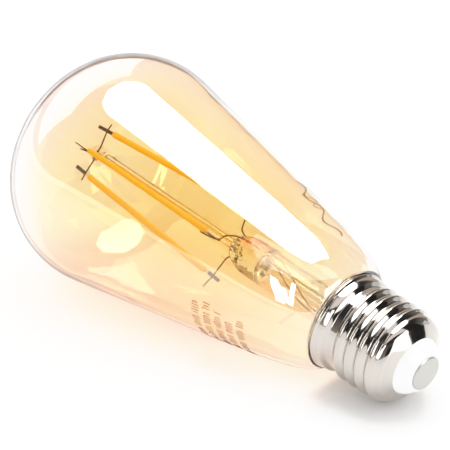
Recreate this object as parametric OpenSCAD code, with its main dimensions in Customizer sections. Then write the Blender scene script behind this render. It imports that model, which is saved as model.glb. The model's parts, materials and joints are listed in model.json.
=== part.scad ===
// Smart filament lamp with an E27 cap, lying on the cone of its glass.
// Sub-parts are drawn upright, contact face at z = 0 and crown up, and lay() puts them on their side.

/* [Glass envelope] */
// Largest diameter of the glass
bulb_d = 64; // [63:0.5:65]
// Length from the contact face to the crown
bulb_len = 138; // [136:0.5:142]
// Radius of the crown
crown_r = 36.8; // [36:0.1:38]
// Radius of the shoulder between the crown and the cone
shoulder_r = 26; // [25:0.25:27]
// Rise of the cone for each mm of length
cone_slope = 0.182; // [0.17:0.002:0.19]
// How far the neck pulls in under the line of the cone
waist = 2.6; // [2.2:0.1:3]
// Length over which the waist fades out
waist_fade = 6.9; // [6:0.1:8]
// Wall of the glass
glass_t = 0.8; // [0.6:0.1:1]

/* [Cap] */
// Height of the rim above the contact face
rim_z = 28.4; // [28:0.1:28.8]
// Diameter of the rolled rim
rim_d = 27.5; // [27.3:0.1:27.9]
// Diameter of the plain skirt under the rim
skirt_d = 26.6; // [26.5:0.05:26.8]
// Height at which the plain skirt starts
skirt_z = 25; // [24.8:0.1:25.2]
// Diameter over the thread's crests
crest_d = 26.4; // [26.05:0.05:26.45]
// Diameter at the thread's roots
root_d = 24.3; // [24.2:0.05:24.4]
// Pitch of the thread
pitch = 3.62; // [3.6:0.01:3.64]
// Wall of the sheet metal
shell_t = 0.3; // [0.25:0.05:0.3]
// Diameter of the opening that holds the insulator
shell_hole_d = 16.4; // [16.2:0.1:16.6]
// Diameter of the centre contact
contact_d = 9.5; // [9:0.1:10]

/* [Filaments] */
// Length of the phosphor coat
fil_len = 46.5; // [45:0.5:47]
// Diameter of the phosphor coat
fil_d = 1.65; // [1.6:0.05:1.8]
// Distance of a filament's lower end from the axis
fil_low_r = 9.8; // [9.5:0.1:10.2]
// Distance of a filament's upper end from the axis
fil_high_r = 6.5; // [6.2:0.1:7]
// Height of the filaments' lower ends
fil_z = 72.3; // [72:0.1:72.6]
// Turn of the first filament about the axis
fil_turn = 36; // [0:1:90]
// Number of LED chips on a filament
chip_count = 22; // [16:2:28]

/* [Stem] */
// Diameter of the stem tube
stem_d = 10.4; // [10.2:0.1:10.8]
// Height of the top of the press
press_z = 68.3; // [68.1:0.1:68.5]
// Diameter of the glass tube that carries the bead
pillar_d = 2.9; // [2.6:0.1:3]
// Wall of that tube
pillar_wall = 0.4; // [0.35:0.05:0.5]
// Diameter of the bead
bead_d = 4.3; // [4.1:0.1:4.6]
// Diameter of the support wires
wire_d = 0.44; // [0.4:0.02:0.48]

/* [Hidden] */
$fn = 64;
gap = 0.05;                     // play between pieces that are pushed or potted together
contact_edge = 0.15;            // bevel round the contact's face

// Outline of the glass: a cone with a waist, a shoulder arc and a crown arc, all tangent
tilt = atan(cone_slope);
crown_z = bulb_len - crown_r;
shoulder_c = bulb_d / 2 - shoulder_r;
shoulder_z = crown_z + sqrt(pow(crown_r - shoulder_r, 2) - pow(shoulder_c, 2));
cone_end_z = shoulder_z - shoulder_r * sin(tilt);
cone_end_r = shoulder_c + shoulder_r * cos(tilt);
arc_join = atan2(shoulder_z - crown_z, shoulder_c);
seat_r = 1.3;                   // rounding of the glass where it sits on the rim
flank_z = rim_z + 0.5;          // height at which the flank meets that rounding
tuck = 1;                       // how much further the glass draws in just above the rim
tuck_fade = 1.7;                // length over which that fades out
neck_r = 11.5;                  // neck inside the cap
neck_z = 20;
flank_steps = 24;
arc_step = 6;

// Where the lying lamp touches the table, and the middle of its length
lay_z = shoulder_c * cos(tilt) + shoulder_r - shoulder_z * sin(tilt);
lay_x = (crown_z * cos(tilt) + crown_r - (contact_d / 2 - contact_edge) * sin(tilt)) / 2;

// Filaments stand at quarter turns and lean inwards towards the crown
fil_lean = asin((fil_low_r - fil_high_r) / fil_len);
substrate_w = 0.95;
substrate_t = 0.3;
substrate_over = 1;             // bare end of the substrate beyond the coat
chip_w = 0.35;
chip_h = 0.14;
tab_len = 4.8;
tab_t = 0.25;
tab_y = -substrate_t / 2 - tab_t / 2;
weld_y = tab_y - tab_t / 2 - wire_d / 2 - 0.01;

// Stem
stem_t = 1;
press_low = 58;                 // underside of the solid press
tube_low = 38;                  // the stem tube flares out below this
exhaust_d = 4;
exhaust_z = 17.6;
bead_z = 119.6;
link_apart = 0.7;               // the two top links cross in the bead this far apart
dumet_d = 0.56;
dumet_low = 59.5;
dumet_high = 65.6;
lead_at = [[3.5, 0], [2.5, -2.1]];
lead_wind = 126;                // how far the leads turn round the exhaust tube
lead_d = 0.4;
stem_r = stem_d / 2;

// Routes of the wires, as [outwards, sideways, height] in the first filament's frame
inner_lead_route_1 = [[13.8, weld_y, 70.9], [10, weld_y, 69.9], [6.4, -0.5, 69.4], [4.4, -0.2, 68.9],
    [3.5, 0, 67.2], [3.5, 0, dumet_high + 0.02]];
inner_lead_route_2 = [[weld_y, -13.8, 71.3], [weld_y, -10, 69.9], [-0.2, -7.2, 69.2], [1.2, -4.6, 69.6],
    [2.5, -2.4, 68], [2.5, -2.1, 66.8], [2.5, -2.1, dumet_high + 0.02]];
lower_link_route = [[-13.8, -weld_y, 70.9], [-10, -weld_y, 69.9], [-6.4, 0.4, 69.3], [-3.6, 0.3, 68.6],
    [-2.5, 0.3, 66.2], [-1.4, 1.4, 64.6], [-0.3, 2.5, 66.2], [-0.3, 3.6, 68.6], [-0.4, 6.4, 69.3],
    [-weld_y, 10, 69.9], [-weld_y, 13.8, 70.9]];
top_link_route = [[8.5, weld_y, 0.4], [6.3, weld_y, 0.5], [3.6, -0.4, 0.2], [1.8, -0.15, 0], [0, 0, 0],
    [-1.8, 0.15, 0], [-3.6, 0.4, 0.2], [-6.3, -weld_y, 0.5], [-8.5, -weld_y, 0.4]];

// Cap
shell_end_z = 4.25;             // height of the opening's edge
shell_end_r = 12.5;             // largest radius of the rounded lower end
end_round = 3.9;
end_round_z = 8.8;              // height at which the rounding starts
end_turn = 50;                  // how far it turns before it runs straight to the opening
thread_low = 10.6;
thread_turns = 3.4;
thread_phase = 41;
ridge_w = 2.8;
contact_t = 0.5;
pin_r = 1;
pin_top = 7.5;
insulator_top = 6.5;
flange_z = 5.05;                // underside of the flange that holds the insulator in the shell

// Electronics
board_z = 15.5;
board_t = 1;
board_r = 10.8;
radio_y = 3.1;
radio_t = 0.8;
radio_w = 12;
radio_low = 7.2;
lead_hole_r = 7.4;

// ---- outlines, as [radius, height] ----
function flank_slope(z) =
    cone_slope + waist / waist_fade * exp(-(z - rim_z) / waist_fade)
    + tuck / tuck_fade * exp(-(z - rim_z) / tuck_fade);
function flank_r(z, t) =
    cone_end_r + cone_slope * (z - cone_end_z) - waist * exp(-(z - rim_z) / waist_fade)
    - tuck * exp(-(z - rim_z) / tuck_fade) - t * sqrt(1 + pow(flank_slope(z), 2));
// Points along the flank, closer together near the rim
function flank(t) =
    [for (i = [0:flank_steps])
        let (z = flank_z + (cone_end_z - flank_z) * pow(i / flank_steps, 2)) [flank_r(z, t), z]];
// An arc without its first point, so that arcs and lines chain
function arc(c, r, a, b) =
    let (n = max(2, ceil(abs(b - a) / arc_step)))
    [for (i = [1:n]) let (w = a + (b - a) * i / n) [c[0] + r * cos(w), c[1] + r * sin(w)]];
function whole_arc(c, r, a, b) = concat([[c[0] + r * cos(a), c[1] + r * sin(a)]], arc(c, r, a, b));
function reverse(p) = [for (i = [len(p) - 1:-1:0]) p[i]];

seat_lean = atan(flank_slope(flank_z));
seat_c = [flank_r(flank_z, 0) - seat_r * cos(seat_lean), flank_z + seat_r * sin(seat_lean)];
seat_low = seat_c[1] - seat_r;

// One face of the glass wall, t inside the outer face, from the neck's end to the crown
function glass_face(t) = concat(
    [[neck_r - t, neck_z], [neck_r - t, seat_low - 0.6 + t], [neck_r + 0.8 - t / 2, seat_low + t],
     [seat_c[0], seat_low + t]],
    arc(seat_c, seat_r - t, -90, -seat_lean),
    [for (i = [1:flank_steps]) flank(t)[i]],
    arc([shoulder_c, shoulder_z], shoulder_r - t, -tilt, arc_join),
    arc([0, crown_z], crown_r - t, arc_join, 90));

// ---- sweeps ----
function unit(v) = v / norm(v);
function spline_at(a, b, c, d, t) =
    0.5 * (2 * b + (c - a) * t + (2 * a - 5 * b + 4 * c - d) * t * t + (3 * b - a - 3 * c + d) * t * t * t);
function spline(p, k) = concat(
    [for (i = [0:len(p) - 2], j = [0:k - 1])
        spline_at(p[max(i - 1, 0)], p[i], p[i + 1], p[min(i + 2, len(p) - 1)], j / k)],
    [p[len(p) - 1]]);

// Closed skin over rings of equal size, each anticlockwise seen from the next ring
module skin(rings) {
    n = len(rings);
    m = len(rings[0]);
    walls = [for (i = [0:n - 2], s = [0:m - 1]) let (t = (s + 1) % m, a = i * m, b = a + m)
        each [[a + s, b + t, a + t], [a + s, b + s, b + t]]];
    first = [for (s = [0:m - 1]) s];
    last = [for (s = [0:m - 1]) n * m - 1 - s];
    polyhedron(points = [for (r = rings) each r], faces = concat(walls, [first], [last]));
}

// Round wire along a line of points; up is a direction that the wire never takes
module wire(p, d, up = [0.31, 0.87, 0.39], sides = 8) {
    n = len(p);
    skin([for (i = [0:n - 1])
        let (h = unit(p[min(i + 1, n - 1)] - p[max(i - 1, 0)]), u = unit(cross(h, up)), v = cross(h, u))
        [for (s = [0:sides - 1]) p[i] + d / 2 * (cos(360 * s / sides) * u + sin(360 * s / sides) * v)]]);
}

// ---- placing ----
module lay() {
    translate([lay_x, 0, lay_z]) rotate([0, tilt - 90, 0]) children();
}
// Turns a part to filament i's side: x points outwards
module side(i) {
    rotate([0, 0, fil_turn - 90 * i]) children();
}
// The frame of filament i: z runs up the coat from its lower end, x points outwards
module on_filament(i) {
    lay() side(i) translate([fil_low_r, 0, fil_z]) rotate([0, -fil_lean, 0]) children();
}

// ---- glass ----
module glass_envelope() {
    color([0.95, 0.68, 0.32, 0.4])
        lay() rotate_extrude($fn = 96) polygon(concat(glass_face(0), reverse(glass_face(glass_t))));
}

module stem_flare() {
    outer = [[11.5, neck_z - gap], [10.4, 20.9], [8.8, 23.5], [7, 28], [5.9, 33], [stem_r, tube_low],
        [stem_r, 61], [4.7, 64.4], [3.4, 67.3], [2.4, press_z], [0, press_z]];
    inner = [[0, press_low], [stem_r - stem_t, press_low], [stem_r - stem_t, tube_low], [4.9, 33],
        [6, 28], [7.8, 23], [9.3, 20.6], [10.4, 19.2], [11.5, 19.2]];
    color([0.93, 0.95, 0.96, 0.5]) lay() difference() {
        rotate_extrude() polygon(concat(outer, inner));
        side(0) {
            inner_wires();
            dumet_pins();
            lead_tops();
        }
    }
}

module exhaust_tube() {
    color([0.93, 0.95, 0.96, 0.5]) lay() difference() {
        translate([0, 0, exhaust_z]) cylinder(h = press_low - exhaust_z, d = exhaust_d);
        translate([0, 0, exhaust_z + 2]) cylinder(h = press_low - exhaust_z, d = exhaust_d - 1.4);
    }
}

module glass_pillar() {
    color([0.93, 0.95, 0.96, 0.5]) lay() difference() {
        union() {
            translate([0, 0, press_z]) cylinder(h = bead_z - press_z, d = pillar_d);
            translate([0, 0, bead_z]) sphere(d = bead_d);
        }
        top_link_wire(0);
        top_link_wire(1);
        translate([0, 0, press_z - 1]) cylinder(h = bead_z - bead_d / 2 - press_z + 0.7, d = pillar_d -
            2 * pillar_wall);
    }
}

// ---- filaments ----
module filament(i) {
    color("gold") on_filament(i) difference() {
        union() {
            cylinder(h = fil_len, d = fil_d);
            translate([0, 0, -0.25]) cylinder(h = fil_len + 0.5, d = fil_d - 0.35);
        }
        translate([-substrate_w / 2, -substrate_t / 2, -1]) cube([substrate_w, substrate_t, fil_len + 2]);
        translate([-chip_w / 2, 0, 0.6]) cube([chip_w, substrate_t / 2 + chip_h, fil_len - 1.2]);
    }
}

module substrate(i) {
    color("silver") on_filament(i)
        translate([-substrate_w / 2, -substrate_t / 2, -substrate_over])
            cube([substrate_w, substrate_t, fil_len + 2 * substrate_over]);
}

module led_row(i) {
    step = (fil_len - 2) / chip_count;
    color("royalblue") on_filament(i)
        for (k = [0:chip_count - 1])
            translate([-chip_w / 2, substrate_t / 2, 1 + (k + 0.2) * step])
                cube([chip_w, chip_h, 0.6 * step]);
}

module end_tabs(i) {
    color([0.25, 0.25, 0.27]) on_filament(i)
        for (z = [-0.3 - tab_len, fil_len + 0.3])
            translate([-substrate_w / 2, tab_y - tab_t / 2, z]) cube([substrate_w, tab_t, tab_len]);
}

// ---- wires of the mount ----
module top_link_wire(k) {
    side(k) translate([0, 0, bead_z + (0.5 - k) * link_apart]) wire(spline(top_link_route, 3), wire_d,
        [0, 0.1, 1]);
}
module top_link(k) {
    color("dimgray") lay() top_link_wire(k);
}

module inner_wire_1() wire(spline(inner_lead_route_1, 3), wire_d, [0, 1, 0]);
module inner_wire_2() wire(spline(inner_lead_route_2, 3), wire_d, [1, 0.4, 0]);
module link_wire() wire(spline(lower_link_route, 3), wire_d, [1, -1, 0]);
module inner_wires() {
    inner_wire_1();
    inner_wire_2();
    link_wire();
}
module inner_lead_1() color("dimgray") lay() side(0) inner_wire_1();
module inner_lead_2() color("dimgray") lay() side(0) inner_wire_2();
module lower_link() color("dimgray") lay() side(0) link_wire();

// Copper-clad slugs that seal the leads in the press
module dumet_pins() {
    for (at = lead_at) translate([at[0], at[1], dumet_low]) cylinder(h = dumet_high - dumet_low, d = dumet_d);
}
module dumet_seals() color([0.7, 0.25, 0.15]) lay() side(0) dumet_pins();

// The leads leave the press straight and wind round the exhaust tube on their way to the board
function lead_angle(k) = atan2(lead_at[k][1], lead_at[k][0]);
function lead_path(k) = concat(
    [[lead_at[k][0], lead_at[k][1], dumet_low], [lead_at[k][0], lead_at[k][1], press_low - 0.5]],
    [for (i = [0:12]) let (z = 55 - i * 1.4, w = lead_angle(k) - lead_wind * i / 12) [3.2 * cos(w), 3.2
        * sin(w), z]],
    [for (q = [[3.7, 33], [4.6, 28], [6, 23.4], [lead_hole_r, 19.4], [lead_hole_r, board_z]])
        let (w = lead_angle(k) - lead_wind) [q[0] * cos(w), q[0] * sin(w), q[1]]]);
module lead_tops() {
    for (at = lead_at) translate([at[0], at[1], press_low - 1]) cylinder(h = dumet_low - press_low + 1,
        d = lead_d);
}
module outer_leads() {
    color([0.75, 0.45, 0.3]) lay() side(0) for (k = [0, 1]) wire(lead_path(k), lead_d, [0.9, 0.1, 0.2]);
}
module lead_sleeves() {
    color("white") lay() side(0) for (k = [0, 1])
        rotate([0, 0, lead_angle(k) - lead_wind]) translate([lead_hole_r, 0, board_z + board_t])
            difference() {
                cylinder(h = 2.2, d = 1.1);
                translate([0, 0, -1]) cylinder(h = 5, d = lead_d + 0.1);
            }
}

// ---- cap ----
// The thread's ridge, as rings that climb round the shell and get lower at both ends
module thread_ridge() {
    steps = 30;
    count = round(thread_turns * steps);
    root = root_d / 2;
    foot = root - 0.1;
    skin([for (i = [0:count])
        let (w = 360 * i / steps, z = thread_low + pitch * i / steps,
             rise = (crest_d / 2 - root) * max(0.6, min(1, i / 12, (count - i) / 12)))
        [for (q = concat(
                [[foot, ridge_w / 2]],
                [for (s = [2:-1:-2]) [root + rise * (0.5 + 0.5 * cos(60 * s)), s * ridge_w / 6]],
                [[foot, -ridge_w / 2]]))
            [q[0] * cos(w), q[0] * sin(w), z + q[1]]]]);
}

module screw_shell() {
    end_c = [shell_end_r - end_round, end_round_z];
    root = root_d / 2;
    skirt = skirt_d / 2;
    outer = concat(
        [[shell_hole_d / 2, shell_end_z]], whole_arc(end_c, end_round, -end_turn, 0),
        [[root, end_c[1] + 0.9], [root, skirt_z - 0.7], [skirt, skirt_z], [skirt, rim_z - 1.1],
         [rim_d / 2 - 0.1, rim_z - 0.7], [rim_d / 2, rim_z - 0.35], [rim_d / 2 - 0.15, rim_z]]);
    inner = concat(
        [[shell_hole_d / 2, shell_end_z + shell_t]], whole_arc(end_c, end_round - shell_t, -end_turn, 0),
        [[root - shell_t, end_c[1] + 0.9], [root - shell_t, skirt_z - 0.5], [skirt - shell_t, skirt_z + 0.15],
         [skirt - shell_t, rim_z]]);
    color("silver") lay() union() {
        rotate_extrude($fn = 96) polygon(concat(outer, reverse(inner)));
        rotate([0, 0, thread_phase]) thread_ridge();
    }
}

module insulator() {
    neck = shell_hole_d / 2 - gap;
    color("white") lay() rotate_extrude() polygon([
        [pin_r + gap, contact_t], [contact_d / 2 + 0.5, contact_t], [contact_d / 2 + 1, contact_t + 0.5],
        [neck - 0.9, 2.6], [neck - 0.2, 3.8], [neck, shell_end_z], [neck, flange_z], [neck + 0.6, flange_z],
        [neck + 0.3, insulator_top], [pin_r + gap, insulator_top]]);
}

module centre_contact() {
    color("lightgray") lay() rotate_extrude() polygon([
        [0, 0], [contact_d / 2 - contact_edge, 0], [contact_d / 2, contact_edge], [contact_d / 2, contact_t],
        [pin_r, contact_t], [pin_r, pin_top], [0, pin_top]]);
}

module cement_ring() {
    color("tan") lay() difference() {
        translate([0, 0, skirt_z + 0.4]) cylinder(h = rim_z - skirt_z - 1, r = skirt_d / 2 - shell_t);
        cylinder(h = 3 * rim_z, r = neck_r, center = true);
    }
}

// ---- electronics in the cap ----
module block(at, size) {
    translate(at - [size[0] / 2, size[1] / 2, 0]) cube(size);
}
// A block hanging under the board
module under(x, y, size) {
    block([x, y, board_z - size[2]], size);
}
// A block standing on the board
module above(x, y, size) {
    block([x, y, board_z + board_t], size);
}

module driver_board() {
    color("darkgreen") lay() difference() {
        translate([0, 0, board_z]) cylinder(h = board_t, r = board_r);
        for (k = [0, 1]) side(0) rotate([0, 0, lead_angle(k) - lead_wind])
            translate([lead_hole_r, 0, 0]) cylinder(h = 2 * board_z, d = lead_d + 0.1);
        translate([0, board_r, board_z]) cube([1.6, 2.4, 4], center = true);
    }
}

module bridge_rectifier() color([0.12, 0.12, 0.13]) lay() {
    union() {
        under(0, -1.2, [4.8, 3.9, 1.6]);
        for (x = [-1.27, 1.27]) under(x, -1.2, [0.9, 6.2, 0.3]);
    }
}

cap_at = [-6.3, -1.8];
cap_can_d = 6;
cap_can_h = 8.2;
module bulk_capacitor() {
    color("gainsboro") lay() translate([cap_at[0], cap_at[1], board_z - cap_can_h]) union() {
        cylinder(h = cap_can_h - 0.6, d = cap_can_d);
        for (x = [-1.25, 1.25]) translate([x, 0, 1]) cylinder(h = cap_can_h - 1, d = 0.5);
    }
}
module capacitor_sleeve() {
    color([0.15, 0.18, 0.25]) lay() translate([cap_at[0], cap_at[1], board_z - cap_can_h + 0.4])
        difference() {
        cylinder(h = cap_can_h - 1.2, d = cap_can_d + 0.4);
        translate([0, 0, -1]) cylinder(h = cap_can_h + 2, d = cap_can_d);
    }
}

choke_at = [5.9, -3.9];
choke_d = 6;
module choke_core() {
    color([0.2, 0.2, 0.21]) lay() translate([choke_at[0], choke_at[1], board_z]) rotate([180, 0, 0])
        rotate_extrude()
        polygon([[0, 0.2], [choke_d / 2, 0.2], [choke_d / 2, 1.1], [1.2, 1.1], [1.2, 4.2],
            [choke_d / 2, 4.2], [choke_d / 2, 5.1], [0, 5.1]]);
}
module choke_winding() {
    turns = 9;
    turn_h = 3.1 / turns;
    color("chocolate") lay() translate([choke_at[0], choke_at[1], board_z - 4.2]) rotate_extrude()
        polygon(concat(
        [[1.2, turns * turn_h], [1.2, 0]],
        [for (i = [0:turns - 1]) each
            [[choke_d / 2 - 0.55, i * turn_h], [choke_d / 2 - 0.4, (i + 0.5) * turn_h]]],
        [[choke_d / 2 - 0.55, turns * turn_h]]));
}

fuse_at = [0.2, -7.6];
module fusible_resistor() {
    color("darkolivegreen") lay() translate([fuse_at[0], fuse_at[1], 0]) union() {
        translate([0, 0, 9.3]) cylinder(h = 4.4, d = 2.3);
        translate([0, 0, 9]) cylinder(h = 1.1, d = 2.6);
        translate([0, 0, 12.9]) cylinder(h = 1.1, d = 2.6);
        translate([0, 0, 8.4]) cylinder(h = board_z - 8.4, d = 0.5);
    }
}

module driver_chip() color([0.12, 0.12, 0.13]) lay() {
    union() {
        above(-4.4, 3.2, [4.9, 3.9, 1.5]);
        for (i = [-1.5:1.5]) above(-4.4 + 1.27 * i, 3.2, [0.42, 5.9, 0.25]);
    }
}
module varistor() {
    color("royalblue") lay() translate([5.2, 3.6, board_z + board_t]) cylinder(h = 1.7, d = 5);
}

module radio_board() {
    color([0.08, 0.16, 0.3]) lay() translate([-radio_w / 2, radio_y, radio_low])
        cube([radio_w, radio_t, board_z - 0.2 - radio_low]);
}
module radio_chip() {
    color([0.12, 0.12, 0.13]) lay() translate([-2.4, radio_y + radio_t, 9.4]) cube([3.4, 0.85, 3.4]);
}
module crystal() {
    color("lightgray") lay() translate([2.2, radio_y + radio_t, 10.2]) cube([1.6, 0.7, 2]);
}
module radio_shield() {
    size = [8.4, 1.8, 5.6];
    color("silver") lay() translate([-3.9, radio_y + radio_t, 8.6]) difference() {
        cube(size);
        translate([0.2, -1, 0.2]) cube([size[0] - 0.4, size[1] + 0.8, size[2] - 0.4]);
    }
}
module radio_pins() {
    color("gold") lay() for (i = [-2.5:2.5])
        translate([2 * i - 0.3, radio_y - 0.5, board_z - 2]) cube([0.6, 0.5, 2]);
}
// Sheet-metal antenna with one foot and a folded arm
module antenna() {
    color("goldenrod") lay() translate([0, 8.4, board_z + board_t]) union() {
        translate([-4.5, 0, 1.5]) cube([9, 0.3, 1]);
        translate([-4.5, 0, 0]) cube([0.8, 0.3, 2]);
        translate([-2.6, 0, 0]) cube([0.6, 0.3, 2]);
    }
}

module smd_resistors() {
    color([0.1, 0.1, 0.1]) lay() {
        for (q = [[0.4, -4.4], [2.4, -4.4], [-1.6, -6.6], [-8, 0], [8, -0.6], [0.6, 6.4]])
            above(q[0], q[1], [1.2, 0.65, 0.45]);
        for (q = [[4.6, -0.2], [-2.6, -6.2], [8.3, 1]])
            under(q[0], q[1], [0.65, 1.2, 0.45]);
    }
}
module smd_capacitors() {
    color([0.72, 0.55, 0.38]) lay() {
        for (q = [[-1.2, -1.4], [1.2, -1.6], [-5.4, -2], [5, -3.4], [7.6, -3.2]])
            above(q[0], q[1], [0.9, 1.6, 0.8]);
        for (q = [[7.2, 1.6], [-4, 1.9]])
            under(q[0], q[1], [1.6, 0.9, 0.8]);
    }
}

live_route = [[0, 0, pin_top + 0.02], [0, 0, 8], [0, -0.8, 8.7], [0, -2.6, 8.5], [0, -4.4, 7.6], [0.1,
    -6.2, 7.1],
    [fuse_at[0], fuse_at[1], 7.6], [fuse_at[0], fuse_at[1], 8.38]];
neutral_route = [[0, root_d / 2 - shell_t - 0.35, 22.4], [0, 11.2, 20.6], [0, 10.9, 18.6], [0, 10.4, 17.2],
    [0, 10.3, 16.2], [0, 10.3, 15.2]];
module live_wire() {
    color("firebrick") lay() wire(spline(live_route, 3), 0.7, [1, 0, 0]);
}
module neutral_wire() {
    color("black") lay() wire(spline(neutral_route, 3), 0.6, [1, 0, 0]);
}

glass_envelope();
stem_flare();
exhaust_tube();
glass_pillar();
for (i = [0:3]) {
    filament(i);
    substrate(i);
    led_row(i);
    end_tabs(i);
}
top_link(0);  // top_link_1
top_link(1);  // top_link_2
inner_lead_1();
inner_lead_2();
lower_link();
dumet_seals();
outer_leads();
lead_sleeves();
screw_shell();
insulator();
centre_contact();
cement_ring();
driver_board();
bridge_rectifier();
bulk_capacitor();
capacitor_sleeve();
choke_core();
choke_winding();
fusible_resistor();
driver_chip();
varistor();
radio_board();
radio_chip();
radio_shield();
crystal();
radio_pins();
antenna();
smd_resistors();
smd_capacitors();
live_wire();
neutral_wire();
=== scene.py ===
import json
import math

import bmesh
import bpy
from mathutils import Matrix, Vector


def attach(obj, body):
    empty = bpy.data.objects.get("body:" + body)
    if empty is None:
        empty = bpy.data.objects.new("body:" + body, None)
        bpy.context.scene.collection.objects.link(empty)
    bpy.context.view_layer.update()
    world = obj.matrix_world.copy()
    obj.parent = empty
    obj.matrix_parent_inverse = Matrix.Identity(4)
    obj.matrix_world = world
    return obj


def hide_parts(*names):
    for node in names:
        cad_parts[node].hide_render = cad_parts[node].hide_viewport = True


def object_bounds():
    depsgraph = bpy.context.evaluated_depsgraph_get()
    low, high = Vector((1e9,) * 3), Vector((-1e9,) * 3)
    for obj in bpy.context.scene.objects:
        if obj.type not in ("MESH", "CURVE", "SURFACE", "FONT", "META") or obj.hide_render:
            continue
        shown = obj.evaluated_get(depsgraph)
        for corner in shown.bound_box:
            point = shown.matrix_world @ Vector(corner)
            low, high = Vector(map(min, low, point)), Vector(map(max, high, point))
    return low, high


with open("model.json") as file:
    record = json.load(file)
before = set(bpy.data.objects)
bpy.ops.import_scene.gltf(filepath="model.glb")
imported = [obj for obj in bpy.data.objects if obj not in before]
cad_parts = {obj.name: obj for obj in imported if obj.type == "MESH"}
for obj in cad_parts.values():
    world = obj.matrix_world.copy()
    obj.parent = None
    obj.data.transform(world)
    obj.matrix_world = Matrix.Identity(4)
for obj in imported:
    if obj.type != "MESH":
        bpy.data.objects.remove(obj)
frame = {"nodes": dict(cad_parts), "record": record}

cad_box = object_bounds()
nodes = frame["nodes"]
record = frame["record"]
scene = bpy.context.scene
MM = 0.001

# ---------------------------------------------------------------- the lamp's own frame
# Origin in the middle of the contact's face, z along the lamp towards the crown, y as the row's y.
contact_mount = next(m for m in record["mounts"] if m["name"] == "centre_contact")
AXIS = -Vector(contact_mount["axis"]).normalized()
SIDE = Vector((0, 1, 0))
LAMP = Matrix((SIDE.cross(AXIS), SIDE, AXIS)).transposed().to_4x4()
LAMP.translation = Vector(contact_mount["pos_m"])

# ---------------------------------------------------------------- sizes
# In mm and degrees, the same as in the part's source.

# glass
BULB_LEN = 138
BULB_D = 64
CROWN_R = 36.8
SHOULDER_R = 26
CONE_SLOPE = 0.182              # rise of the cone for each mm of length
TUCKS = ((2.6, 6.9), (1, 1.7))  # how far the glass draws in at the rim, and the length over which that fades
GLASS_T = 0.8
SEAT_R = 1.3                    # rounding of the glass where it sits on the rim
NECK_R = 11.5                   # neck inside the cap
NECK_Z = 20

# cap
RIM_Z = 28.4
RIM_D = 27.5
SKIRT_D = 26.6
SKIRT_Z = 25
CREST_D = 26.4
ROOT_D = 24.3
PITCH = 3.62
THREAD_LOW = 10.6
THREAD_TURNS = 3.4
THREAD_PHASE = 41
SHELL_T = 0.3
SHELL_HOLE_D = 16.4
SHELL_END_Z = 4.25              # height of the opening's edge
SHELL_END_R = 12.5              # largest radius of the rounded lower end
END_ROUND = 3.9
END_ROUND_Z = 8.8               # height at which the rounding starts
END_TURN = 50                   # how far it turns before it runs straight to the opening
CONTACT_D = 9.5
CONTACT_T = 0.5
PIN_R = 1
PIN_TOP = 7.5
INSULATOR_TOP = 6.5
FLANGE_Z = 5.05                 # underside of the flange that holds the insulator in the shell
GAP = 0.05                      # play between pieces that are pushed together

# filaments
FIL_LEN = 46.5
FIL_LOW_R = 9.8
FIL_HIGH_R = 6.5
FIL_Z = 72.3
FIL_TURN = 36
SUBSTRATE_T = 0.3
TAB_T = 0.25

# stem, pillar and wires
STEM_R = 5.2
STEM_T = 1
PRESS_LOW = 58                  # underside of the solid press
PRESS_Z = 68.3
TUBE_LOW = 38                   # the stem tube flares out below this
PILLAR_D = 2.9
PILLAR_WALL = 0.4
BEAD_D = 4.3
BEAD_Z = 119.6
LINK_APART = 0.7                # the two top links cross in the bead this far apart
WIRE_D = 0.44
DUMET_LOW = 59.5
DUMET_HIGH = 65.6
LEAD_AT = ((3.5, 0), (2.5, -2.1))
LEAD_WIND = 126                 # how far the leads turn round the exhaust tube
LEAD_HOLE_R = 7.4
LEAD_D = 0.4

# outline of the glass: a cone that draws in at the rim, a shoulder arc and a crown arc, all tangent
TILT = math.atan(CONE_SLOPE)
CROWN_Z = BULB_LEN - CROWN_R
SHOULDER_C = BULB_D / 2 - SHOULDER_R
SHOULDER_Z = CROWN_Z + math.sqrt((CROWN_R - SHOULDER_R) ** 2 - SHOULDER_C ** 2)
CONE_END_Z = SHOULDER_Z - SHOULDER_R * math.sin(TILT)
CONE_END_R = SHOULDER_C + SHOULDER_R * math.cos(TILT)
ARC_JOIN = math.atan2(SHOULDER_Z - CROWN_Z, SHOULDER_C)
FLANK_Z = RIM_Z + 0.5           # height at which the flank meets the rounding on the rim

FIL_LEAN = math.asin((FIL_LOW_R - FIL_HIGH_R) / FIL_LEN)
TAB_Y = -SUBSTRATE_T / 2 - TAB_T / 2
WELD_Y = TAB_Y - TAB_T / 2 - WIRE_D / 2 - 0.01
ROOT_R = ROOT_D / 2
SKIRT_R = SKIRT_D / 2


# ---------------------------------------------------------------- meshes
def new_object(name, verts, faces, smooth=40, matrix=LAMP):
    """Mesh object in the row's frame, from verts in mm in the frame that matrix gives."""
    mesh = bpy.data.meshes.new(name)
    mesh.from_pydata([matrix @ (Vector(v) * MM) for v in verts], [], faces)
    mesh.validate()
    mesh.shade_smooth()
    mesh.set_sharp_from_angle(angle=math.radians(smooth))
    ob = bpy.data.objects.new(name, mesh)
    scene.collection.objects.link(ob)
    return ob


def grid(rings, closed_ends=False, wrap_rings=False):
    """(verts, faces) of rings of equal size, each ring closed."""
    count, size = len(rings), len(rings[0])
    verts = [p for ring in rings for p in ring]
    faces = []
    for i in range(count if wrap_rings else count - 1):
        a, b = i * size, (i + 1) % count * size
        for s in range(size):
            t = (s + 1) % size
            faces.append((a + s, a + t, b + t, b + s))
    if closed_ends:
        faces.append(tuple(range(size))[::-1])
        faces.append(tuple(range((count - 1) * size, count * size)))
    return verts, faces


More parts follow.
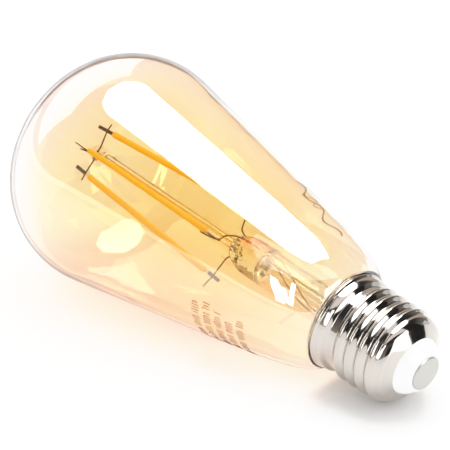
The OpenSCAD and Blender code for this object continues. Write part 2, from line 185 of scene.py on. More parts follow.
def revolve(name, profile, steps=128, smooth=40, loop=False, shape=None):
    """Revolves [(radius, z)]; shape(k, r, z, angle) may change the radius of point k."""
    rings = []
    for k, (r, z) in enumerate(profile):
        ring = []
        for i in range(steps):
            w = 2 * math.pi * i / steps
            shaped_r = shape(k, r, z, w) if shape else r
            ring.append((shaped_r * math.cos(w), shaped_r * math.sin(w), z))
        rings.append(ring)
    verts, faces = grid(rings, wrap_rings=loop)
    ob = new_object(name, verts, faces, smooth)
    # a point on the axis is one vertex, not a ring
    bm = bmesh.new()
    bm.from_mesh(ob.data)
    bmesh.ops.remove_doubles(bm, verts=bm.verts, dist=1e-7)
    bmesh.ops.recalc_face_normals(bm, faces=bm.faces)
    bm.to_mesh(ob.data)
    bm.free()
    ob.data.set_sharp_from_angle(angle=math.radians(smooth))
    return ob


def arc(c, r, a, b, step=3):
    """Points of an arc round c, from angle a to angle b in degrees."""
    n = max(2, math.ceil(abs(b - a) / step))
    angles = [math.radians(a + (b - a) * i / n) for i in range(n + 1)]
    return [(c[0] + r * math.cos(w), c[1] + r * math.sin(w)) for w in angles]


def spline(points, k=10):
    """Catmull-Rom line through points, with k steps between two of them."""
    p = [Vector(q) for q in points]
    out = []
    for i in range(len(p) - 1):
        a, b, c, d = p[max(i - 1, 0)], p[i], p[i + 1], p[min(i + 2, len(p) - 1)]
        for j in range(k):
            t = j / k
            bend = (2 * a - 5 * b + 4 * c - d) * t * t + (3 * b - a - 3 * c + d) * t ** 3
            out.append(0.5 * (2 * b + (c - a) * t + bend))
    return out + [p[-1]]


def smooth_line(points, k=6):
    """A spline through [(radius, z)] that stays on one side of the axis."""
    return [(max(0.0, q[0]), q[2]) for q in spline([(r, 0, z) for r, z in points], k)]


def tube(points, radius, sides=14):
    """(verts, faces) of a round bar along points."""
    u = Vector((0.31, 0.87, 0.39))      # runs along none of the wires
    turns = [2 * math.pi * s / sides for s in range(sides)]
    rings = []
    for i, p in enumerate(points):
        ahead = (points[min(i + 1, len(points) - 1)] - points[max(i - 1, 0)]).normalized()
        u = (u - ahead * u.dot(ahead)).normalized()
        v = ahead.cross(u)
        rings.append([p + radius * (math.cos(w) * u + math.sin(w) * v) for w in turns])
    return grid(rings, closed_ends=True)


def joined(*parts):
    """(verts, faces) of several meshes in one."""
    verts, faces = [], []
    for part_verts, part_faces in parts:
        base = len(verts)
        verts += [tuple(p) for p in part_verts]
        faces += [tuple(base + i for i in face) for face in part_faces]
    return verts, faces


def side(i):
    """Turns the lamp's frame so that x points at filament i."""
    return Matrix.Rotation(math.radians(FIL_TURN - 90 * i), 4, "Z")


def on_filament(i):
    """Frame of filament i: its lower end is the origin and it runs along z."""
    lower_end = side(i) @ Matrix.Translation(Vector((FIL_LOW_R, 0, FIL_Z)) * MM)
    return LAMP @ lower_end @ Matrix.Rotation(-FIL_LEAN, 4, "Y")


# ---------------------------------------------------------------- shader nodes
def material(name):
    mat = bpy.data.materials.new(name)
    mat.use_nodes = True
    return mat, mat.node_tree, mat.node_tree.nodes["Principled BSDF"]


def add(nt, kind, **values):
    """A new node; in_Some_Name sets the input Some Name, and any other key is the node's own setting."""
    node = nt.nodes.new(kind)
    for key, value in values.items():
        if key.startswith("in_"):
            node.inputs[key[3:].replace("_", " ")].default_value = value
        else:
            setattr(node, key, value)
    return node


def ramp(nt, source, stops):
    """Colour that follows source through (position, colour) stops."""
    node = nt.nodes.new("ShaderNodeValToRGB")
    elements = node.color_ramp.elements
    while len(elements) < len(stops):
        elements.new(0.5)
    for element, (position, colour) in zip(elements, stops):
        element.position = position
        element.color = (*colour, 1)
    nt.links.new(source, node.inputs[0])
    return node.outputs[0]


def map_range(nt, source, low, high, to_low=0.0, to_high=1.0):
    """Maps low..high of source to to_low..to_high, and holds it there outside."""
    node = add(nt, "ShaderNodeMapRange", in_From_Min=low, in_From_Max=high,
               in_To_Min=to_low, in_To_Max=to_high)
    nt.links.new(source, node.inputs[0])
    return node.outputs[0]


def calculate(nt, operation, *sources):
    node = add(nt, "ShaderNodeMath", operation=operation)
    for source, socket in zip(sources, node.inputs):
        nt.links.new(source, socket)
    return node.outputs[0]


def mix_colours(nt, share, first, second):
    node = add(nt, "ShaderNodeMix", data_type="RGBA")
    nt.links.new(share, node.inputs[0])
    nt.links.new(first, node.inputs[6])
    nt.links.new(second, node.inputs[7])
    return node.outputs[2]


def mix_shaders(nt, share, first, second):
    node = nt.nodes.new("ShaderNodeMixShader")
    for source, socket in zip((share, first, second), node.inputs):
        nt.links.new(source, socket)
    return node.outputs[0]


def lamp_coords(nt):
    """Object coordinates turned into the lamp's own frame."""
    back = LAMP.inverted()
    coords = nt.nodes.new("ShaderNodeTexCoord")
    mapping = add(nt, "ShaderNodeMapping", in_Location=back.translation, in_Rotation=back.to_euler())
    nt.links.new(coords.outputs["Object"], mapping.inputs[0])
    return mapping.outputs[0]


def lamp_height(nt):
    """z in the lamp's own frame, in m."""
    parts = nt.nodes.new("ShaderNodeSeparateXYZ")
    nt.links.new(lamp_coords(nt), parts.inputs[0])
    return parts.outputs["Z"]


def noise(nt, scale, detail=3, rough=0.5, stretch=None):
    coords = lamp_coords(nt)
    if stretch:
        mapping = add(nt, "ShaderNodeMapping", in_Scale=stretch)
        nt.links.new(coords, mapping.inputs[0])
        coords = mapping.outputs[0]
    node = add(nt, "ShaderNodeTexNoise", in_Scale=scale, in_Detail=detail, in_Roughness=rough)
    nt.links.new(coords, node.inputs["Vector"])
    return node.outputs["Fac"]


def bump(nt, bsdf, height, strength, distance):
    node = add(nt, "ShaderNodeBump", in_Strength=strength, in_Distance=distance)
    nt.links.new(height, node.inputs["Height"])
    nt.links.new(node.outputs[0], bsdf.inputs["Normal"])


# ---------------------------------------------------------------- opaque materials
def plain(name, low, high, rough, metal=0.0, scale=900, stretch=None, bumps=0.15, distance=0.0001, coat=0.0):
    """Base colour and roughness that vary between two values with a fine noise, and a slight bump."""
    mat, nt, bsdf = material(name)
    grain = noise(nt, scale, rough=0.55, stretch=stretch)
    nt.links.new(ramp(nt, grain, [(0.3, low), (0.7, high)]), bsdf.inputs["Base Color"])
    nt.links.new(map_range(nt, grain, 0.3, 0.7, *rough), bsdf.inputs["Roughness"])
    bsdf.inputs["Metallic"].default_value = metal
    bsdf.inputs["Coat Weight"].default_value = coat
    bump(nt, bsdf, grain, bumps, distance)
    return mat


ALONG = (1, 1, 0.2)             # stretches the noise into streaks along the lamp

# Low and high colour, the range of roughness, and what differs from plain()'s own values
PLAIN = {
    "phosphor": dict(low=(1.0, 0.53, 0.002), high=(1.0, 0.58, 0.004), rough=(0.5, 0.62), scale=1400,
                     bumps=0.2),
    "dark_metal": dict(low=(0.05, 0.05, 0.05), high=(0.12, 0.115, 0.11), rough=(0.35, 0.5), metal=0.9,
                       scale=2500, bumps=0.1),
    "support_wire": dict(low=(0.10, 0.075, 0.055), high=(0.2, 0.15, 0.11), rough=(0.3, 0.45), metal=0.9,
                         scale=2500, stretch=ALONG, bumps=0.1),
    "dumet": dict(low=(0.35, 0.05, 0.02), high=(0.55, 0.12, 0.05), rough=(0.25, 0.4), metal=0.6, scale=2500,
                  bumps=0.1),
    "copper": dict(low=(0.32, 0.2, 0.15), high=(0.5, 0.32, 0.23), rough=(0.25, 0.4), metal=0.9, scale=2500,
                   bumps=0.1),
    "nickel_shell": dict(low=(0.50, 0.465, 0.425), high=(0.54, 0.505, 0.465), rough=(0.07, 0.12), metal=1.0,
                         scale=260, stretch=(0.15, 0.15, 8), bumps=0.1),
    "white_insulator": dict(low=(0.86, 0.87, 0.875), high=(0.92, 0.925, 0.93), rough=(0.12, 0.2), scale=300,
                            bumps=0.05, coat=0.4),
    "contact_metal": dict(low=(0.44, 0.43, 0.40), high=(0.50, 0.49, 0.46), rough=(0.28, 0.4), metal=1.0,
                          scale=1500, stretch=(1, 6, 1), bumps=0.12, distance=0.00005),
    "cement": dict(low=(0.52, 0.45, 0.36), high=(0.7, 0.63, 0.52), rough=(0.8, 0.95), scale=1800, bumps=0.6),
    "circuit_board": dict(low=(0.02, 0.12, 0.05), high=(0.03, 0.2, 0.08), rough=(0.35, 0.5), scale=2200,
                          bumps=0.2),
    "radio_board": dict(low=(0.01, 0.03, 0.09), high=(0.02, 0.05, 0.16), rough=(0.35, 0.5), scale=2200,
                        bumps=0.2),
    "black_part": dict(low=(0.012, 0.012, 0.013), high=(0.03, 0.03, 0.032), rough=(0.35, 0.55), scale=2600,
                       bumps=0.3),
    "capacitor_can": dict(low=(0.7, 0.7, 0.7), high=(0.8, 0.8, 0.8), rough=(0.2, 0.35), metal=1.0,
                          scale=1800, stretch=ALONG, bumps=0.1),
    "sleeve_film": dict(low=(0.01, 0.015, 0.035), high=(0.03, 0.035, 0.07), rough=(0.2, 0.35), bumps=0.1),
    "ferrite": dict(low=(0.03, 0.03, 0.032), high=(0.07, 0.068, 0.065), rough=(0.5, 0.75), scale=2200,
                    bumps=0.5),
    "resistor_body": dict(low=(0.12, 0.2, 0.1), high=(0.18, 0.28, 0.15), rough=(0.5, 0.65), scale=2200,
                          bumps=0.3),
    "varistor": dict(low=(0.01, 0.05, 0.28), high=(0.02, 0.09, 0.4), rough=(0.2, 0.35)),
    "tin_plate": dict(low=(0.62, 0.62, 0.61), high=(0.75, 0.75, 0.74), rough=(0.25, 0.4), metal=1.0,
                      scale=1400, bumps=0.1),
    "gold_plate": dict(low=(0.75, 0.52, 0.2), high=(0.88, 0.64, 0.28), rough=(0.2, 0.35), metal=1.0,
                       scale=1800, bumps=0.1),
    "ceramic_cap": dict(low=(0.42, 0.28, 0.17), high=(0.55, 0.4, 0.26), rough=(0.45, 0.6), scale=2600,
                        bumps=0.2),
    "white_sleeve": dict(low=(0.75, 0.75, 0.72), high=(0.85, 0.85, 0.82), rough=(0.5, 0.7), scale=2200,
                         stretch=(1, 1, 0.3), bumps=0.4),
    "red_wire": dict(low=(0.35, 0.015, 0.012), high=(0.5, 0.03, 0.02), rough=(0.3, 0.45), scale=1800),
    "black_wire": dict(low=(0.012, 0.012, 0.012), high=(0.03, 0.03, 0.03), rough=(0.3, 0.45), scale=1800),
    "substrate": dict(low=(0.7, 0.7, 0.66), high=(0.82, 0.82, 0.79), rough=(0.3, 0.45), scale=2400),
    "led_chip": dict(low=(0.04, 0.08, 0.3), high=(0.08, 0.15, 0.45), rough=(0.1, 0.2), scale=2600,
                     bumps=0.1),
    "print_ink": dict(low=(0.12, 0.06, 0.005), high=(0.2, 0.105, 0.012), rough=(0.5, 0.7), scale=2500,
                      bumps=0.1),
}


# ---------------------------------------------------------------- glass
GLASS_BUMP = 0.001              # height in m of the glass's unevenness at full strength
CLEAR_IOR = 1.5
AMBER_IOR = 2.08                # glass with a reflecting metal oxide coat
EDGE_IOR = 1.08                 # where the wall turns out of sight

# Tints of the envelope from the contact's face (0) to the crown (1): seen face on; at a slant, a paler tint
# with the
# # reflection of the white surroundings painted in; where the wall turns out of sight, a painted dark shade
# that draws
# # the outline as a thin line; and what its shadow lets through
FACE_TINT = [(0.0, (1, 1, 0.98)), (0.22, (0.93, 0.86, 0.74)), (0.3, (0.96, 0.83, 0.62)),
             (0.4, (0.98, 0.77, 0.43)), (0.55, (1, 0.77, 0.36)), (0.72, (1, 0.77, 0.36)),
             (0.83, (1, 0.79, 0.53)), (0.93, (1, 0.87, 0.8)), (1.0, (1, 0.9, 0.86))]
SLANT_TINT_WITH_PAINTED_REFLECTION = [(0.0, (1, 1, 0.98)), (0.22, (1, 0.955, 0.9)), (0.3, (1, 0.925, 0.84)), (0.4, (1, 0.87, 0.77)),
              (0.55, (1, 0.79, 0.76)), (0.8, (1, 0.8, 0.84)), (0.93, (1, 0.88, 0.9)), (1.0, (1, 0.92, 0.95))]
OUTLINE_PAINTED_SHADE = [(0.0, (0.8, 0.68, 0.52)), (0.6, (0.8, 0.68, 0.52)), (0.75, (0.26, 0.26, 0.3)),
                (1.0, (0.26, 0.26, 0.3))]
SHADOW_TINT = [(0.0, (0.97, 0.96, 0.95)), (0.3, (0.96, 0.89, 0.85)), (0.5, (0.96, 0.855, 0.8)),
               (1.0, (0.96, 0.865, 0.81))]
CLEAR_TINT = [(0.0, (1, 1, 0.99)), (1.0, (0.99, 0.985, 0.96))]


def glass_shader(name, ior):
    mat, nt, bsdf = material(name)
    bsdf.inputs["Transmission Weight"].default_value = 1.0
    bsdf.inputs["Roughness"].default_value = 0.0
    bsdf.inputs["IOR"].default_value = ior
    return mat, nt, bsdf


def pass_light(nt, bsdf, tint):
    """Lets shadow and diffuse rays straight through the glass, coloured by tint."""
    path = nt.nodes.new("ShaderNodeLightPath")
    passes = calculate(nt, "MAXIMUM", path.outputs["Is Shadow Ray"], path.outputs["Is Diffuse Ray"])
    clear = nt.nodes.new("ShaderNodeBsdfTransparent")
    nt.links.new(tint, clear.inputs[0])
    surface = mix_shaders(nt, passes, bsdf.outputs[0], clear.outputs[0])
    nt.links.new(surface, nt.nodes["Material Output"].inputs["Surface"])


def amber_glass():
    """The envelope: its tint follows the height; at a slant a paler tint paints in the reflection of the
    white surroundings, and along the outline a painted shade makes a thin dark line.
    """
    mat, nt, bsdf = glass_shader("amber_glass", AMBER_IOR)
    z = lamp_height(nt)
    height = map_range(nt, z, 0.0, BULB_LEN * MM)
    slant = add(nt, "ShaderNodeLayerWeight", in_Blend=0.5).outputs["Facing"]
    # the outline is thinner along the cone than round the dome
    outline = calculate(nt, "SUBTRACT", slant, map_range(nt, z, 0.082, 0.106, 0.09, 0.0))
    tint = ramp(nt, height, FACE_TINT)
    # painted reflection: towards a slant the tint turns paler, standing in for the white surroundings
    # mirrored in the glass
    tint = mix_colours(nt, map_range(nt, slant, 0.15, 0.55), tint, ramp(nt, height, SLANT_TINT_WITH_PAINTED_REFLECTION))
    # painted shade: along the outline the tint turns brownish by the cone and neck and dark grey round the
    # dome
    tint = mix_colours(nt, map_range(nt, outline, 0.76, 0.88), tint, ramp(nt, height, OUTLINE_PAINTED_SHADE))
    nt.links.new(tint, bsdf.inputs["Base Color"])
    # less light comes back from the very edge, which keeps the line dark
    nt.links.new(map_range(nt, outline, 0.78, 0.9, AMBER_IOR, EDGE_IOR), bsdf.inputs["IOR"])
    bump(nt, bsdf, noise(nt, 45, detail=2), 0.18, GLASS_BUMP)
    pass_light(nt, bsdf, ramp(nt, height, SHADOW_TINT))
    return mat


def clear_glass():
    """Stem and pillar: a tube with faint streaks, a lumpy pinched end, and an even pillar above it."""
    mat, nt, bsdf = glass_shader("clear_glass", CLEAR_IOR)
    z = lamp_height(nt)
    tint = ramp(nt, map_range(nt, z, 0.0, BULB_LEN * MM), CLEAR_TINT)
    nt.links.new(tint, bsdf.inputs["Base Color"])
    streaks = noise(nt, 260, detail=2, stretch=(1, 1, 0.3))
    lumpy = map_range(nt, z, 0.059, 0.0635, to_high=16)
    uneven = calculate(nt, "MULTIPLY_ADD", noise(nt, 520, detail=2), lumpy, streaks)
    below_pillar = map_range(nt, z, 0.0685, 0.0695, 1.0, 0.0)
    bump(nt, bsdf, calculate(nt, "MULTIPLY", uneven, below_pillar), 0.12, GLASS_BUMP)
    pass_light(nt, bsdf, tint)
    return mat


materials = {"amber_glass": amber_glass(), "clear_glass": clear_glass()}
for name, values in PLAIN.items():
    materials[name] = plain(name, **values)

slot_of = {part["node"]: part["material_slot"] for part in record["subparts"]}
for name, ob in nodes.items():
    ob.data.materials.clear()
    ob.data.materials.append(materials[slot_of[name]])


def piece(ob, mat, *stands_for):
    """Gives ob the material named mat and its body, and hides the nodes it stands for, if any."""
    ob.data.materials.append(materials[mat])
    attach(ob, "root")
    if stands_for:
        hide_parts(*stands_for)


# ---------------------------------------------------------------- glass envelope
def flank_slope(z):
    return CONE_SLOPE + sum(depth / fade * math.exp(-(z - RIM_Z) / fade) for depth, fade in TUCKS)


def flank_r(z, t=0.0):
    """Radius of the cone's face that lies t inside the outer one."""
    cone_r = CONE_END_R + CONE_SLOPE * (z - CONE_END_Z)
    drawn_in = sum(depth * math.exp(-(z - RIM_Z) / fade) for depth, fade in TUCKS)
    return cone_r - drawn_in - t * math.sqrt(1 + flank_slope(z) ** 2)


def glass_face(t):
    """One face of the glass wall, t inside the outer one, from the neck's end to the crown."""
    lean = math.atan(flank_slope(FLANK_Z))
    seat_c = (flank_r(FLANK_Z) - SEAT_R * math.cos(lean), FLANK_Z + SEAT_R * math.sin(lean))
    seat_low = seat_c[1] - SEAT_R
    join = math.degrees(ARC_JOIN)
    flank_steps = 60
    points = [(NECK_R - t, NECK_Z), (NECK_R - t, seat_low - 0.6 + t), (NECK_R + 0.8 - t / 2, seat_low + t)]
    points += arc(seat_c, SEAT_R - t, -90, -math.degrees(lean), step=8)
    for i in range(1, flank_steps):
        z = FLANK_Z + (CONE_END_Z - FLANK_Z) * (i / flank_steps) ** 2
        points.append((flank_r(z, t), z))
    points += arc((SHOULDER_C, SHOULDER_Z), SHOULDER_R - t, -math.degrees(TILT), join, step=2.5)
    points += arc((0, CROWN_Z), CROWN_R - t, join, 90, step=2.5)[1:]
    return points


glass = revolve("glass_fine", glass_face(0) + glass_face(GLASS_T)[::-1], steps=192, smooth=50, loop=True)
piece(glass, "amber_glass", "glass_envelope")


# ---------------------------------------------------------------- stem and pillar
def stem():
    bore_r = STEM_R - STEM_T
    outside = [(NECK_R, NECK_Z - GAP), (10.4, 20.9), (8.8, 23.5), (7, 28), (5.9, 33), (STEM_R, TUBE_LOW),
               (STEM_R, 50), (STEM_R, 61), (4.7, 64.4), (3.4, 67.3), (2.4, PRESS_Z)]
    inside = [(2.6, PRESS_LOW - 0.3), (bore_r, PRESS_LOW - 1.4), (bore_r, 50), (bore_r, TUBE_LOW), (4.9, 33),
              (6, 28), (7.8, 23), (9.3, 20.6), (10.4, 19.2), (NECK_R, 19.2)]
    on_axis = [(0, PRESS_Z), (0, PRESS_LOW)]
    profile = smooth_line(outside) + on_axis + smooth_line(inside)
    return revolve("stem_fine", profile, steps=96, smooth=60, loop=True)


def pillar():
    """A tube that is closed at the top by the bead."""
    outer_r = PILLAR_D / 2
    bore_r = outer_r - PILLAR_WALL
    bore_end = BEAD_Z - BEAD_D / 2 - 0.3
    low = PRESS_Z + 0.02
    profile = arc((0, bore_end - bore_r), bore_r, 90, 0, step=15)
    profile += [(bore_r, low), (outer_r, low)]
    profile += [(outer_r, z) for z in range(70, 116, 3)]
    profile += [(outer_r + 0.1, BEAD_Z - 2.2)]
    profile += arc((0, BEAD_Z), BEAD_D / 2, -50, 90, step=6)
    return revolve("pillar_fine", profile, steps=64)


piece(stem(), "clear_glass", "stem_flare")
piece(pillar(), "clear_glass", "glass_pillar")

# ---------------------------------------------------------------- filaments
COAT_W = 0.82                   # half of the coat's width
COAT_H = 0.74                   # half of its height
COAT_TIP = 0.02                 # what is left of either at its ends
COAT_OVER = 0.3                 # how far it runs past the filament's length at each end
COAT_ROUND = 0.8                # length over which its ends are rounded


def squarish(share):
    """Moves a cosine or sine outwards, which turns a circle into a rounded square."""
    return math.copysign(abs(share) ** 0.85, share)


def filament(i, steps=90, sides=28):
    """The phosphor coat: a bar with rounded ends whose thickness wavers a little."""
    length = FIL_LEN + 2 * COAT_OVER
    turns = [2 * math.pi * s / sides for s in range(sides)]
    rings = []
    for k in range(steps + 1):
        t = k / steps
        z = length * t - COAT_OVER
        to_end = min(t, 1 - t) * length
        grow = math.sqrt(max(0.0, 1 - (1 - min(1, to_end / COAT_ROUND)) ** 2))
        waver = 1 + 0.015 * math.sin(z * 0.9 + i) + 0.01 * math.sin(z * 2.3 + 2 * i)
        a, b = (COAT_W * grow + COAT_TIP) * waver, (COAT_H * grow + COAT_TIP) * waver
        rings.append([(a * squarish(math.cos(w)), b * squarish(math.sin(w)), z) for w in turns])
    verts, faces = grid(rings, closed_ends=True)
    return new_object(f"filament_fine_{i + 1}", verts, faces, smooth=60, matrix=on_filament(i))


for i in range(4):
    piece(filament(i), "phosphor", f"filament_{i + 1}")

# ---------------------------------------------------------------- wires
# Routes in mm: outwards, sideways and height in the first filament's frame
SEAL_Z = DUMET_HIGH + 0.02
ROUTES = {
    "inner_lead_1": [(13.8, WELD_Y, 70.9), (10, WELD_Y, 69.9), (6.4, -0.5, 69.4), (4.4, -0.2, 68.9),
                     (3.5, 0, 67.2), (3.5, 0, SEAL_Z)],
    "inner_lead_2": [(WELD_Y, -13.8, 71.3), (WELD_Y, -10, 69.9), (-0.2, -7.2, 69.2), (1.2, -4.6, 69.6),
                     (2.5, -2.4, 68), (2.5, -2.1, 66.8), (2.5, -2.1, SEAL_Z)],
    "lower_link": [(-13.8, -WELD_Y, 70.9), (-10, -WELD_Y, 69.9), (-6.4, 0.4, 69.3), (-3.6, 0.3, 68.6),
                   (-2.5, 0.3, 66.2), (-1.4, 1.4, 64.6), (-0.3, 2.5, 66.2), (-0.3, 3.6, 68.6),
                   (-0.4, 6.4, 69.3), (-WELD_Y, 10, 69.9), (-WELD_Y, 13.8, 70.9)],
}
TOP_ROUTE = [(8.5, WELD_Y, 0.4), (6.3, WELD_Y, 0.5), (3.6, -0.4, 0.2), (1.8, -0.15, 0), (0, 0, 0),
             (-1.8, 0.15, 0), (-3.6, 0.4, 0.2), (-6.3, -WELD_Y, 0.5), (-8.5, -WELD_Y, 0.4)]


def support_wire(node, route, turn):
    """A wire that stands for node; turn is the filament whose side the route starts from."""
    verts, faces = tube(spline(route), WIRE_D / 2)
    wire = new_object(f"{node}_fine", verts, faces, smooth=60, matrix=LAMP @ side(turn))
    piece(wire, "support_wire", node)


def lead_route(x, y):
    """From a seal in the press down the stem, round the exhaust tube and out to the board."""
    start = math.atan2(y, x)
    end = start - math.radians(LEAD_WIND)
    wound_r, wind_steps = 3.2, 12
    points = [(x, y, DUMET_LOW), (x, y, PRESS_LOW - 0.5)]
    for i in range(wind_steps + 1):
        w = start + (end - start) * i / wind_steps
        points.append((wound_r * math.cos(w), wound_r * math.sin(w), 55 - i * 1.4))
    for r, z in ((3.7, 33), (4.6, 28), (6, 23.4), (LEAD_HOLE_R, 19.4), (LEAD_HOLE_R, 15.5)):
        points.append((r * math.cos(end), r * math.sin(end), z))
    return points


def outer_leads():
    bars = [tube(spline(lead_route(x, y), k=5), LEAD_D / 2, sides=10) for x, y in LEAD_AT]
    verts, faces = joined(*bars)
    return new_object("outer_leads_fine", verts, faces, smooth=60, matrix=LAMP @ side(0))


for node, route in ROUTES.items():
    support_wire(node, route, 0)
for k in range(2):
    middle = BEAD_Z + (0.5 - k) * LINK_APART
    support_wire(f"top_link_{k + 1}", [(x, y, middle + h) for x, y, h in TOP_ROUTE], k)
piece(outer_leads(), "copper", "outer_leads")

# ---------------------------------------------------------------- print on the glass
# Five rows of plain strokes and two wavy lines stand in for the lamp's writing. A row has its height, the
# angle of its first stroke and its number of places.
PRINT_ROWS = ((60.2, -98, 20), (56.8, -95, 22), (53.4, -99, 19), (50, -104, 16), (46.6, -98, 21))
STROKE_STEP = 2.3               # degrees from one stroke of a row to the next
STROKE_W = 0.27
BAR_TURN = 1.5                  # degrees that a cross bar runs round the glass
BAR_W = 0.17
INK_LOW = 0.015                 # the print's faces over the glass
INK_HIGH = 0.055


def stroke(points, width, upright=True):
    """A thin flat bar that follows (z, angle in degrees) points on the glass. Its width lies round the glass
    if it is upright, and along z if not."""
    verts, faces = [], []
    for z, angle in points:
        for lift in (INK_LOW, INK_HIGH):
            for half in (-0.5, 0.5):
                h = z + (0 if upright else half * width)
                w = math.radians(angle) + (half * width / flank_r(z) if upright else 0)
                r = flank_r(h) + lift
                verts.append((r * math.cos(w), r * math.sin(w), h))
    for i in range(len(points) - 1):
        a, b = 4 * i, 4 * i + 4
        for m, n in ((0, 1), (1, 3), (3, 2), (2, 0)):
            faces.append((a + m, a + n, b + n, b + m))
    end = 4 * (len(points) - 1)
    return verts, faces + [(0, 2, 3, 1), (end, end + 1, end + 3, end + 2)]


def print_row(row, z, first, count):
    """Groups of up to five strokes, some of them shorter and some with a bar at the top."""
    marks = []
    for i in range(count):
        if (i + 2 * row) % 6 < 5:
            angle = first - i * STROKE_STEP
            tall = 1.05 if (3 * i + row) % 4 else 0.75
            marks.append(stroke([(z - tall, angle), (z + tall, angle)], STROKE_W))
            if (i + row) % 3 == 0:
                bar = [(z + tall, angle), (z + tall, angle - BAR_TURN)]
                marks.append(stroke(bar, BAR_W, upright=False))
    return marks


def wavy_lines():
    long_line = [(61 - 22 * t / 60, 29 - 14 * t / 60 + 5 * math.sin(t / 4)) for t in range(61)]
    short_line = [(57 - 8 * t / 30, 24 + 5 * math.cos(t / 2.6)) for t in range(31)]
    return [stroke(long_line, 0.65), stroke(short_line, 0.5)]


def glass_print():
    marks = []
    for row, (z, first, count) in enumerate(PRINT_ROWS):
        marks += print_row(row, z, first, count)
    verts, faces = joined(*marks, *wavy_lines())
    return new_object("print_fine", verts, faces, smooth=30)


piece(glass_print(), "print_ink")


# ---------------------------------------------------------------- screw shell
def thread_height(z, w):
    """Height of the rolled thread over the shell's root, at angle w; it fades out at both ends."""
    crest = CREST_D / 2 - ROOT_R
    past_start, past_end = 0.9, 0.1     # turns beyond the ends of the thread in which it fades
    best = 0.0
    for k in range(-1, 6):
        turn = ((w - math.radians(THREAD_PHASE)) / (2 * math.pi)) % 1 + k
        off = abs(z - (THREAD_LOW + PITCH * turn)) / PITCH
        if -past_start < turn < THREAD_TURNS + past_end and off < 0.5:
            fade = min(1.0, (turn + past_start) / 0.45, (THREAD_TURNS + past_end - turn) / 0.3)
            fade = fade * fade * (3 - 2 * fade)
            best = max(best, crest * fade * (0.5 + 0.5 * math.cos(2 * math.pi * off)))
    return best


def shell_face(t):
    """One face of the sheet metal, t inside the outer one, from the opening up to the rim."""
    root, skirt = ROOT_R - t, SKIRT_R - t
    low, high, steps = 9.7, SKIRT_Z - 0.9, 140      # the stretch that carries the thread
    points = [(SHELL_HOLE_D / 2, SHELL_END_Z + t)]
    points += arc((SHELL_END_R - END_ROUND, END_ROUND_Z), END_ROUND - t, -END_TURN, 0, step=4)
    points += [(root, low + (high - low) * i / steps) for i in range(steps + 1)]
    points += [(root + 0.12, SKIRT_Z - 0.6), (skirt - 0.25, SKIRT_Z - 0.12), (skirt, SKIRT_Z + 0.25)]
    if t > 0:
        return points + [(skirt, RIM_Z)]
    rim = RIM_D / 2
    return points + [(skirt, RIM_Z - 1.25), (skirt + 0.1, RIM_Z - 0.95), (rim - 0.08, RIM_Z - 0.75),
                     (rim, RIM_Z - 0.4), (rim - 0.1, RIM_Z - 0.08), (rim - 0.28, RIM_Z)]


def screw_shell():
    outer, inner = shell_face(0), shell_face(SHELL_T)[::-1]

    def with_thread(k, r, z, w):
        if not 8 < z < SKIRT_Z - 0.5:
            return r
        wall = ROOT_R if k < len(outer) else ROOT_R - SHELL_T
        return max(r, wall + thread_height(z, w))

    return revolve("shell_fine", outer + inner, steps=360, smooth=50, loop=True, shape=with_thread)


piece(screw_shell(), "nickel_shell", "screw_shell")


# ---------------------------------------------------------------- insulator and contact
def insulator():
    neck = SHELL_HOLE_D / 2 - GAP
    contact_r = CONTACT_D / 2
    low = CONTACT_T + GAP
    face = [(contact_r + 0.05, low), (contact_r + 0.6, 0.62), (contact_r + 1.05, 1.0), (neck - 0.9, 2.6),
            (neck - 0.2, 3.8), (neck, SHELL_END_Z)]
    back = [(neck, FLANGE_Z), (neck + 0.6, FLANGE_Z), (neck + 0.3, INSULATOR_TOP),
            (PIN_R + GAP, INSULATOR_TOP), (PIN_R + GAP, low)]
    return revolve("insulator_fine", smooth_line(face) + back, smooth=50, loop=True)


def centre_contact():
    r = CONTACT_D / 2
    face = [(0, 0.0), (2.5, 0.0), (r - 0.3, 0.0), (r - 0.12, 0.04), (r - 0.02, 0.16), (r, 0.3),
            (r, CONTACT_T)]
    pin = [(PIN_R, CONTACT_T), (PIN_R, PIN_TOP), (0, PIN_TOP)]
    return revolve("contact_fine", face + pin, smooth=35)


piece(insulator(), "white_insulator", "insulator")
piece(centre_contact(), "contact_metal", "centre_contact")


# ---------------------------------------------------------------- stage: floor, softbox and cards
def stage_mesh(name, corners, mat, hidden=True):
    """A flat sheet on the stage; a hidden one shows only in what reflects it."""
    mesh = bpy.data.meshes.new(name)
    mesh.from_pydata([Vector(c) for c in corners], [], [tuple(range(len(corners)))])
    mesh.materials.append(mat)
    ob = bpy.data.objects.new(name, mesh)
    scene.collection.objects.link(ob)
    if hidden:
        ob.visible_camera = False
        ob.visible_diffuse = False
        ob.visible_shadow = False


def glow(name, colour, strength):
    mat = bpy.data.materials.new(name)
    mat.use_nodes = True
    nt = mat.node_tree
    nt.nodes.clear()
    emission = add(nt, "ShaderNodeEmission", in_Color=(*colour, 1), in_Strength=strength)
    output = nt.nodes.new("ShaderNodeOutputMaterial")
    nt.links.new(emission.outputs[0], output.inputs[0])
    return mat


def direction(azimuth, elevation):
    """Azimuth 0 points along -Y and 90 along +X, both in degrees."""
    a, e = math.radians(azimuth), math.radians(elevation)
    return Vector((math.sin(a) * math.cos(e), -math.cos(a) * math.cos(e), math.sin(e)))


def wall_points(corners, away, seen_from):
    """Points on an upright wall round seen_from, at (azimuth, elevation) corners."""
    return [seen_from + direction(a, e) * away / math.cos(math.radians(e)) for a, e in corners]


# From here on lengths are in m.
MIDDLE = Vector((0, 0, 0))      # the frame's origin, under the middle of the lamp
CAP_EDGE = LAMP @ Vector((0.0104, -0.0018, 0.0054))     # on the cap's rounded end
FAR = 1.5                       # distance of the cards round the whole lamp
WHITE = (1, 1, 1)
BLACK = (0.02, 0.02, 0.02)

